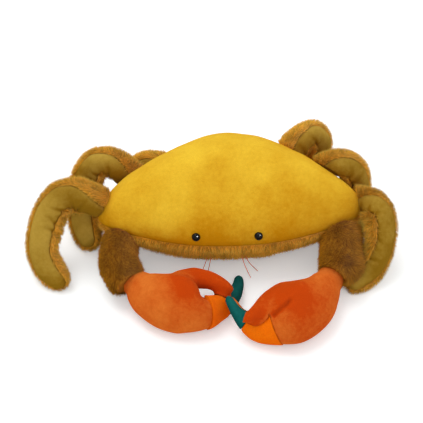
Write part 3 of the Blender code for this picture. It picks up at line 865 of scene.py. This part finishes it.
def make_belly(fabric):
    angles = round_angles(BELLY_GRID[0], -math.pi / 2)
    drops = np.sin(np.linspace(0, math.pi / 2, BELLY_GRID[1]))[:, None]
    grid = belly_point(angles[None], drops)
    notch = bell(angles - math.radians(-93.5), 0.035)[None] * bell(drops - 0.42, 0.16)
    tuck = 2.5 * MM * np.exp(-drops / 0.06) + 1.2 * MM + 5.0 * MM * notch
    tuck = tuck * np.clip((1 - drops) / 0.06, 0, 1)
    grid = grid + grid_normals(grid) * tuck[..., None]
    cap = body_point(angles, INNER_RIM, SEAM_HEIGHT)
    cloth = solid(np.concatenate([cap[None], grid]))

    def comb(root):
        return np.stack([0.35 * field(root, 30 * MM, 91), 0 * root[:, 1], -1 + 0 * root[:, 2]], -1)

    def keep(root):
        return (root[:, 2] > 1.5 * MM) & (root[:, 2] < SEAM_HEIGHT - 0.4 * MM)

    def length(root):
        return 9.0 * MM

    def weight(places):
        front = np.clip((20 * MM - places[:, 1]) / (60 * MM), 0, 1)
        return (0.12 + front) * np.clip(places[:, 2] / (14 * MM), 0.12, 1)

    pile = strands(cloth, 31, (comb, keep, length), **PILE["belly"], weight=weight)
    make_furry("belly_fur", cloth, pile, fabric, 0.9, "belly", 0.4 * MM)


# Legs
def apart(angles, other):
    """Angle between the two, without its sign."""
    return np.abs(np.mod(angles - other + math.pi, 2 * math.pi) - math.pi)


class Folds:
    """The creases across the inner edge of a leg."""

    def __init__(self, name, limb, seed):
        self.lines, self.limb, self.seed = LEG_FOLDS[name], limb, seed
        self.inner = math.pi if "left" in name else 0.0

    def near(self, shares, turn, width):
        """Strength of each fold, and how many widths each place is from it."""
        for index, (place, strength) in enumerate(self.lines):
            bend = place + 0.035 * np.sin(turn * 1.3 + index * 1.7 + self.seed)
            yield strength, (shares - bend) * self.limb.length / width

    def swell(self, shares, angles, turns, points):
        """Height off the smooth leg: tucked seams, fold lines, soft unevenness."""
        height = 0.0
        for seam in (LEG_SEAM, math.pi - LEG_SEAM):
            height = height - 2.0 * MM * bell(apart(angles - turns, seam), 0.13)
        turn = apart(angles, self.inner)
        reach = bell(turn, 1.05)
        for strength, near in self.near(shares, turn, 2.7 * MM):
            height = height - 3.4 * MM * strength * reach * bell(near, 1.0)
            height = height + 1.4 * MM * strength * reach * bell(np.abs(near) - 2.4, 1.3)
        return height + 1.1 * MM * layered(points, 26 * MM, self.seed) - 0.6 * MM

    def creased(self, shares, angles):
        """1 in the folds, falling to 0 beside them."""
        turn = apart(angles, self.inner)
        lines = self.near(shares, turn, 3.4 * MM)
        return bell(turn, 1.15) * np.max([strength * bell(near, 1.0) for strength, near in lines], axis=0)


def leg_half(name, limb, folds, start, sweep, size, lift):
    """A panel of the leg: sweep is its angle, and size the steps across and the rows along it."""
    steps, rows = size
    step = np.arange(steps + 1)
    angles = start + sweep * step / steps
    shares = np.linspace(0, 1, rows) ** 0.9
    piece = fast_mesh(name, *solid(limb.grid(shares, angles, folds.swell, lift, round_end=0.035)))
    # Painted shade: the leg's folds are darkened, and so are the panel's edges at the seam lines
    fold = folds.creased(shares[:, None], angles[None] + limb.turn(shares)[:, None])
    seam = bell(np.minimum(step, steps - step), 1.2)[None]
    put_seams(piece, seam=np.maximum(seam, 0.55 * fold**5), pressed=0.9 * fold)
    return piece


def outer_cloth(piece, columns):
    """The points, and the triangles of the outer side without the flat seam side and the ends."""
    points, triangles = mesh_arrays(piece)
    column = triangles % columns
    rows = (len(points) - 2) // columns
    inside = (triangles < rows * columns).all(axis=1)
    wraps = (column.max(axis=1) - column.min(axis=1)) > 1
    return points, triangles[inside & ~wraps]


def make_leg(name, rows, body_cutter, olive, caramel, seed):
    side = "left" if "left" in name else "right"
    limb = Limb(rows, LEG_FACING[side], LEG_TURNS[name], 1 if side == "left" else -1)
    folds = Folds(name, limb, seed)
    end = math.pi - LEG_SEAM
    sweep = end - LEG_SEAM
    face = leg_half(name + "_velour", limb, folds, LEG_SEAM, sweep, LEG_FACE_GRID, GAP / 2)
    cut_by(face, body_cutter)
    finish_piece(face, olive, 0.85, name + "_face")

    back = leg_half(name + "_pile", limb, folds, end, 2 * math.pi - sweep, LEG_BACK_GRID, -GAP / 2)
    outer = outer_cloth(back, LEG_BACK_GRID[0] + 1)
    cut_by(back, body_cutter)
    centre, _, _, along, _, _ = limb.frames(np.linspace(0, 1, 90))
    inner_fur = 3.6 if name == "leg_right_front" else 0.0

    def comb(root):
        return along[closest(root, centre)]

    def keep(root):
        return outside_body(root, 2.0 * MM) & (root[:, 2] > 1.5 * MM)

    def length(root):
        inward = np.clip((centre[closest(root, centre)][:, 0] - root[:, 0]) / (12 * MM), 0, 1)
        return (6.8 + inner_fur * inward) * MM

    pile = strands(outer, seed, (comb, keep, length), **PILE["leg"])
    make_furry(name + "_fur", taken_arrays(back), pile, caramel, 0.85, name + "_back")


# Arms
def make_arm(name, body_cutter, fabric, seed):
    limb = Limb(ARMS[name], CLAW_FACING)

    def swell(shares, angles, turns, points):
        gather = -2.2 * MM * bell(1 - shares, 0.05) - 1.5 * MM
        return gather + 1.0 * MM * layered(points, 25 * MM, seed)

    arm = fast_mesh(name + "_skin", *solid(limb.grid(np.linspace(0, 1, 90), round_angles(72), swell)))
    cut_by(arm, body_cutter)
    cloth = taken_arrays(arm)
    centre, _, _, along, _, _ = limb.frames(np.linspace(0, 1, 60))
    outer_fur = 4.0 if name == "arm_right" else 0.0

    def comb(root):
        return along[closest(root, centre)] + np.array((0.0, 0.0, -0.45))

    def keep(root):
        not_the_end = closest(root, centre) < 58
        return outside_body(root, 1.5 * MM) & not_the_end & (root[:, 2] > 1.0 * MM)

    def length(root):
        outward = np.clip((root[:, 0] - centre[closest(root, centre)][:, 0]) / (14 * MM), 0, 1)
        return (9.0 + outer_fur * outward) * MM

    pile = strands(cloth, seed, (comb, keep, length), **PILE["arm"])
    make_furry(name + "_fur", cloth, pile, fabric, 0.9, name)
    return make_cutter(name + "_cutter", limb.grid(np.linspace(0, 1, 60), round_angles(40)), GAP)


# Claws
def joined_solids(solids):
    """Points and triangles of several closed solids, put together."""
    starts = np.cumsum([0] + [len(points) for points, _ in solids])
    triangles = [faces + start for (_, faces), start in zip(solids, starts)]
    return np.concatenate([points for points, _ in solids]), np.concatenate(triangles)


def move_to(obj, points):
    obj.data.vertices.foreach_set("co", np.ascontiguousarray(points, np.float32).ravel())
    obj.data.update()


def relax(obj, weights, rounds):
    """Evens out the surface where the weights are high."""
    points, _ = mesh_arrays(obj)
    ends = np.empty(len(obj.data.edges) * 2, np.int32)
    obj.data.edges.foreach_get("vertices", ends)
    first, second = ends.reshape(-1, 2).T
    count = np.bincount(ends, minlength=len(points))[:, None]
    for _ in range(rounds):
        total = np.zeros_like(points)
        for axis in range(3):
            total[:, axis] += np.bincount(first, points[second, axis], len(points))
            total[:, axis] += np.bincount(second, points[first, axis], len(points))
        points = points + 0.6 * weights[:, None] * (total / np.maximum(count, 1) - points)
    move_to(obj, points)


def stuffed(name, solids):
    """A closed cover pushed out by its filling: even mesh, cloth under pressure, one subdivision."""
    obj = fast_mesh(name, *joined_solids(solids))
    even = obj.modifiers.new("even", "REMESH")
    even.mode = "VOXEL"
    even.voxel_size = VOXEL
    applied(obj)
    before, _ = mesh_arrays(obj)
    near = nearness(before, [solids[0][0]], 9.0 * MM)
    near = near * nearness(before, [points for points, _ in solids[1:]], 9.0 * MM)
    scene = bpy.context.scene
    cloth = obj.modifiers.new("stuffing", "CLOTH")
    cloth.settings.quality = 6
    cloth.settings.use_pressure = True
    cloth.settings.uniform_pressure_force = PRESSURE
    cloth.settings.effector_weights.gravity = 0.0
    cloth.point_cache.frame_start = 1
    cloth.point_cache.frame_end = CLOTH_FRAMES
    for frame in range(1, CLOTH_FRAMES + 1):
        scene.frame_set(frame)
    applied(obj)
    scene.frame_set(1)
    move = mesh_arrays(obj)[0] - before
    far = np.linalg.norm(move, axis=1, keepdims=True)
    move_to(obj, before + move * np.minimum(1.0, MOST_MOVE / np.maximum(far, 1e-9)))
    relax(obj, np.clip(1.6 * near, 0.06, 1.0), 60)
    smooth = obj.modifiers.new("smooth", "SUBSURF")
    smooth.levels = smooth.render_levels = 1
    applied(obj)
    return obj


def make_cover(side, limb, first, arm_cutter, fabric, seed):
    """The claw's orange cover, top, underside and thumb in one, cut out where the amber and teal sit."""
    angles = round_angles(72)
    last, before = THUMBS[side][-1], THUMBS[side][-2]
    beyond = [1.5 * a - 0.5 * b for a, b in zip(last[:3], before[:3])] + [size * 0.7 for size in last[3:]]
    thumb = Limb([*THUMBS[side], beyond], CLAW_FACING)

    def slim(shares, angles, turns, points):
        """Hollows and bulges along both edges of the claw."""
        inner = np.abs(angles - math.pi)
        outer = math.pi - inner
        if side == "left":
            hollow = 13.0 * bell(shares - 0.50, 0.055) * bell(inner, 0.6)
            hollow = hollow - 4.8 * bell(shares - 0.46, 0.06) * bell(outer, 0.8)
        else:
            hollow = 4.5 * bell(shares - 0.18, 0.09) * bell(outer, 0.7)
            hollow = hollow + 2.5 * bell(shares - 0.36, 0.08) * bell(inner, 0.7)
            hollow = hollow - 4.0 * bell(outer, 0.5) * np.clip((shares - 0.77) / 0.04, 0, 1)
        return (-1.6 - hollow) * MM

    def slim_thumb(shares, angles, turns, points):
        away = np.abs(angles - math.pi)
        away, depth = (away, 2.4) if side == "left" else (math.pi - away, 4.0)
        return (-1.2 - depth * bell(away, 0.8) * np.clip((shares - 0.25) / 0.15, 0, 1)) * MM

    whole = solid(limb.grid(np.linspace(0.0, 1.0, 200), angles, slim, round_end=0.03))
    finger = solid(thumb.grid(np.linspace(0.0, 1.0, 110), angles, slim_thumb, round_end=0.06))
    parts = [whole, finger]
    if side == "left":
        root = Limb(THUMB_ROOT, CLAW_FACING)
        parts.append(solid(root.grid(np.linspace(0.0, 1.0, 60), angles, slim_thumb)))
    cover = stuffed(f"claw_{side}_orange_cover", parts)

    def wide(shares, angles, turns, points):
        clear = 1.0 - nearness(points.reshape(-1, 3), [finger[0]], 9.0 * MM)
        return 0.5 * MM + 4.5 * MM * clear.reshape(points.shape[:2])

    upper = math.pi * np.arange(41) / 40
    above = make_cutter("panel_cutter", limb.grid(np.linspace(first, 1.0, 130), upper, wide, -GAP / 2))
    cut_by(cover, arm_cutter, above)
    bpy.data.objects.remove(above, do_unlink=True)

    rim = limb.grid(np.linspace(0.0, 1.0, 420), np.array((0.0, math.pi))).reshape(-1, 3)
    rim = rim[nearness(rim, [finger[0]], 5.0 * MM) < 0.2]
    cross = limb.grid(np.array((first,)), np.linspace(0.0, math.pi, 140))[0]
    if side == "left":
        stitched = thumb.grid(np.array((0.36,)), np.linspace(0.3, math.pi - 0.1, 90))[0]
    else:
        stitched = thumb.grid(np.linspace(0.50, 0.97, 120), np.array((math.pi - 0.75,)))[:, 0]
    points, triangles = mesh_arrays(cover)
    normals = vertex_normals(points, triangles)
    points = points - normals * (0.7 * MM * nearness(points, [rim, cross, stitched], 1.6 * MM))[:, None]
    points = points + normals * (0.5 * MM * layered(points, 26 * MM, seed))[:, None]
    fold = np.zeros(len(points))
    if side == "right":
        at = np.linspace(0, len(THUMB_FOLD) - 1, 60)
        fold = nearness(points, [smooth_rows(np.asarray(THUMB_FOLD) * MM - SHIFT, at)], 4.0 * MM)
        points = points - normals * (3.6 * MM * fold)[:, None]
    under_floor = np.maximum(0.3 * MM - points[:, 2], 0.0)
    points[:, 2] += under_floor
    points[:, 1] -= under_floor
    move_to(cover, points)
    # Painted shade along the seam lines, the thumb's stitched line and the right thumb's fold
    dark = 0.8 * nearness(points, [rim], 0.8 * MM) + 0.35 * nearness(points, [stitched], 0.8 * MM)
    put_attribute(cover, "seam", np.clip(dark + 0.45 * fold**2, 0.0, 1.0))
    # Painted shade in the middle of each palm, round the thumb and in the right thumb's fold
    middle, reach = PAINTED_SHADE_SPOTS[side]
    shade = nearness(points, [np.asarray([middle]) * MM - SHIFT], reach * MM)
    shade = np.maximum(shade, 0.65 * nearness(points, [finger[0]], 5.0 * MM))
    put_attribute(cover, "pressed", np.clip(shade + 0.6 * fold, 0.0, 1.0))
    finish_piece(cover, fabric, 0.9, *(f"claw_{side}_{part}" for part in ("palm", "thumb", "underside")))


def make_claw(side, arm_cutter, fabrics, seed):
    limb = Limb(CLAWS[side], CLAW_FACING)
    joins = CLAW_JOINS[side]
    gap = 2 * GAP / limb.length
    make_cover(side, limb, joins[0], arm_cutter, fabrics[0], seed)

    def swell(shares, angles, turns, points):
        height = -1.6 * MM * bell(np.minimum(np.abs(angles), np.abs(math.pi - angles)), 0.14)
        for join in joins:
            height = height - 0.8 * MM * bell((shares - join) * limb.length, 1.5 * MM)
        return height + 0.5 * MM * layered(points, 30 * MM, seed + 3)

    step = np.arange(CLAW_STEPS + 1)
    # Painted shade along the seam lines at the sides and at the joins
    sides = 0.8 * bell(np.minimum(step, CLAW_STEPS - step), 0.9)[None]
    spans = {"segment": (joins[0] + gap, joins[1], 60), "tip": (joins[1] + gap, 1.0, 80)}
    for fabric, (part, (start, end, rows)) in zip(fabrics[1:], spans.items()):
        shares = np.linspace(start, end, rows)
        rounding = 0.04 if part == "tip" else 0.0
        grid = limb.grid(shares, math.pi * step / CLAW_STEPS, swell, GAP / 2, rounding)
        piece = fast_mesh(f"claw_{side}_{part}_cover", *solid(grid))
        seam = sides * np.ones((rows, 1))
        for limit in (start, end) if part == "segment" else (start,):
            seam = np.maximum(seam, 0.3 * bell((shares - limit) * limb.length, 0.5 * MM)[:, None])
        put_seams(piece, seam=seam)
        finish_piece(piece, fabric, 0.9, f"claw_{side}_{part}")


def main():
    make_stage()
    make_threads()
    brown, caramel = fur("fur_brown", BROWN), fur("fur_caramel", CARAMEL, 6.0)
    make_shell(velour("velour_mustard", MUSTARD, painted_top_light=0.8, mottle=0.55))
    make_belly(caramel)
    olive = velour("velour_olive", OLIVE, painted_top_light=0.6, mottle=0.5, seed=1.3)
    fabrics = (
        velour("velour_orange", ORANGE, painted_top_light=0.3, mottle=0.34, seed=2.1, base=0.27),
        velour("velour_amber", AMBER, painted_top_light=0.5, mottle=0.5, seed=3.4),
        velour("velour_teal", TEAL, painted_top_light=0.6, mottle=0.5, seed=4.2),
    )
    beads = bead_gloss()
    washers = plain("washer_white", WASHER_WHITE, roughness=0.5, specular=0.4)

    angles = round_angles(160, -math.pi / 2)[None]
    low = belly_point(angles, np.sin(np.linspace(0, math.pi / 2, 14))[::-1, None])
    high = shell_point(angles, np.linspace(0, SHELL_TOP, 20)[:, None]) + np.array((0, 0, GAP))
    body_cutter = make_cutter("body_cutter", np.concatenate([low, high]), GAP)
    for index, (name, rows) in enumerate(LEGS.items()):
        make_leg(name, rows, body_cutter, olive, caramel, 40 + 7 * index)
    for index, side in enumerate(("left", "right")):
        arm_cutter = make_arm("arm_" + side, body_cutter, brown, 71 + index)
        make_claw(side, arm_cutter, fabrics, 80 + 5 * index)
        bpy.data.objects.remove(arm_cutter, do_unlink=True)
        dress(bpy.data.objects["eye_" + side], beads)
        dress(bpy.data.objects["eye_washer_" + side], washers)
    bpy.data.objects.remove(body_cutter, do_unlink=True)


main()
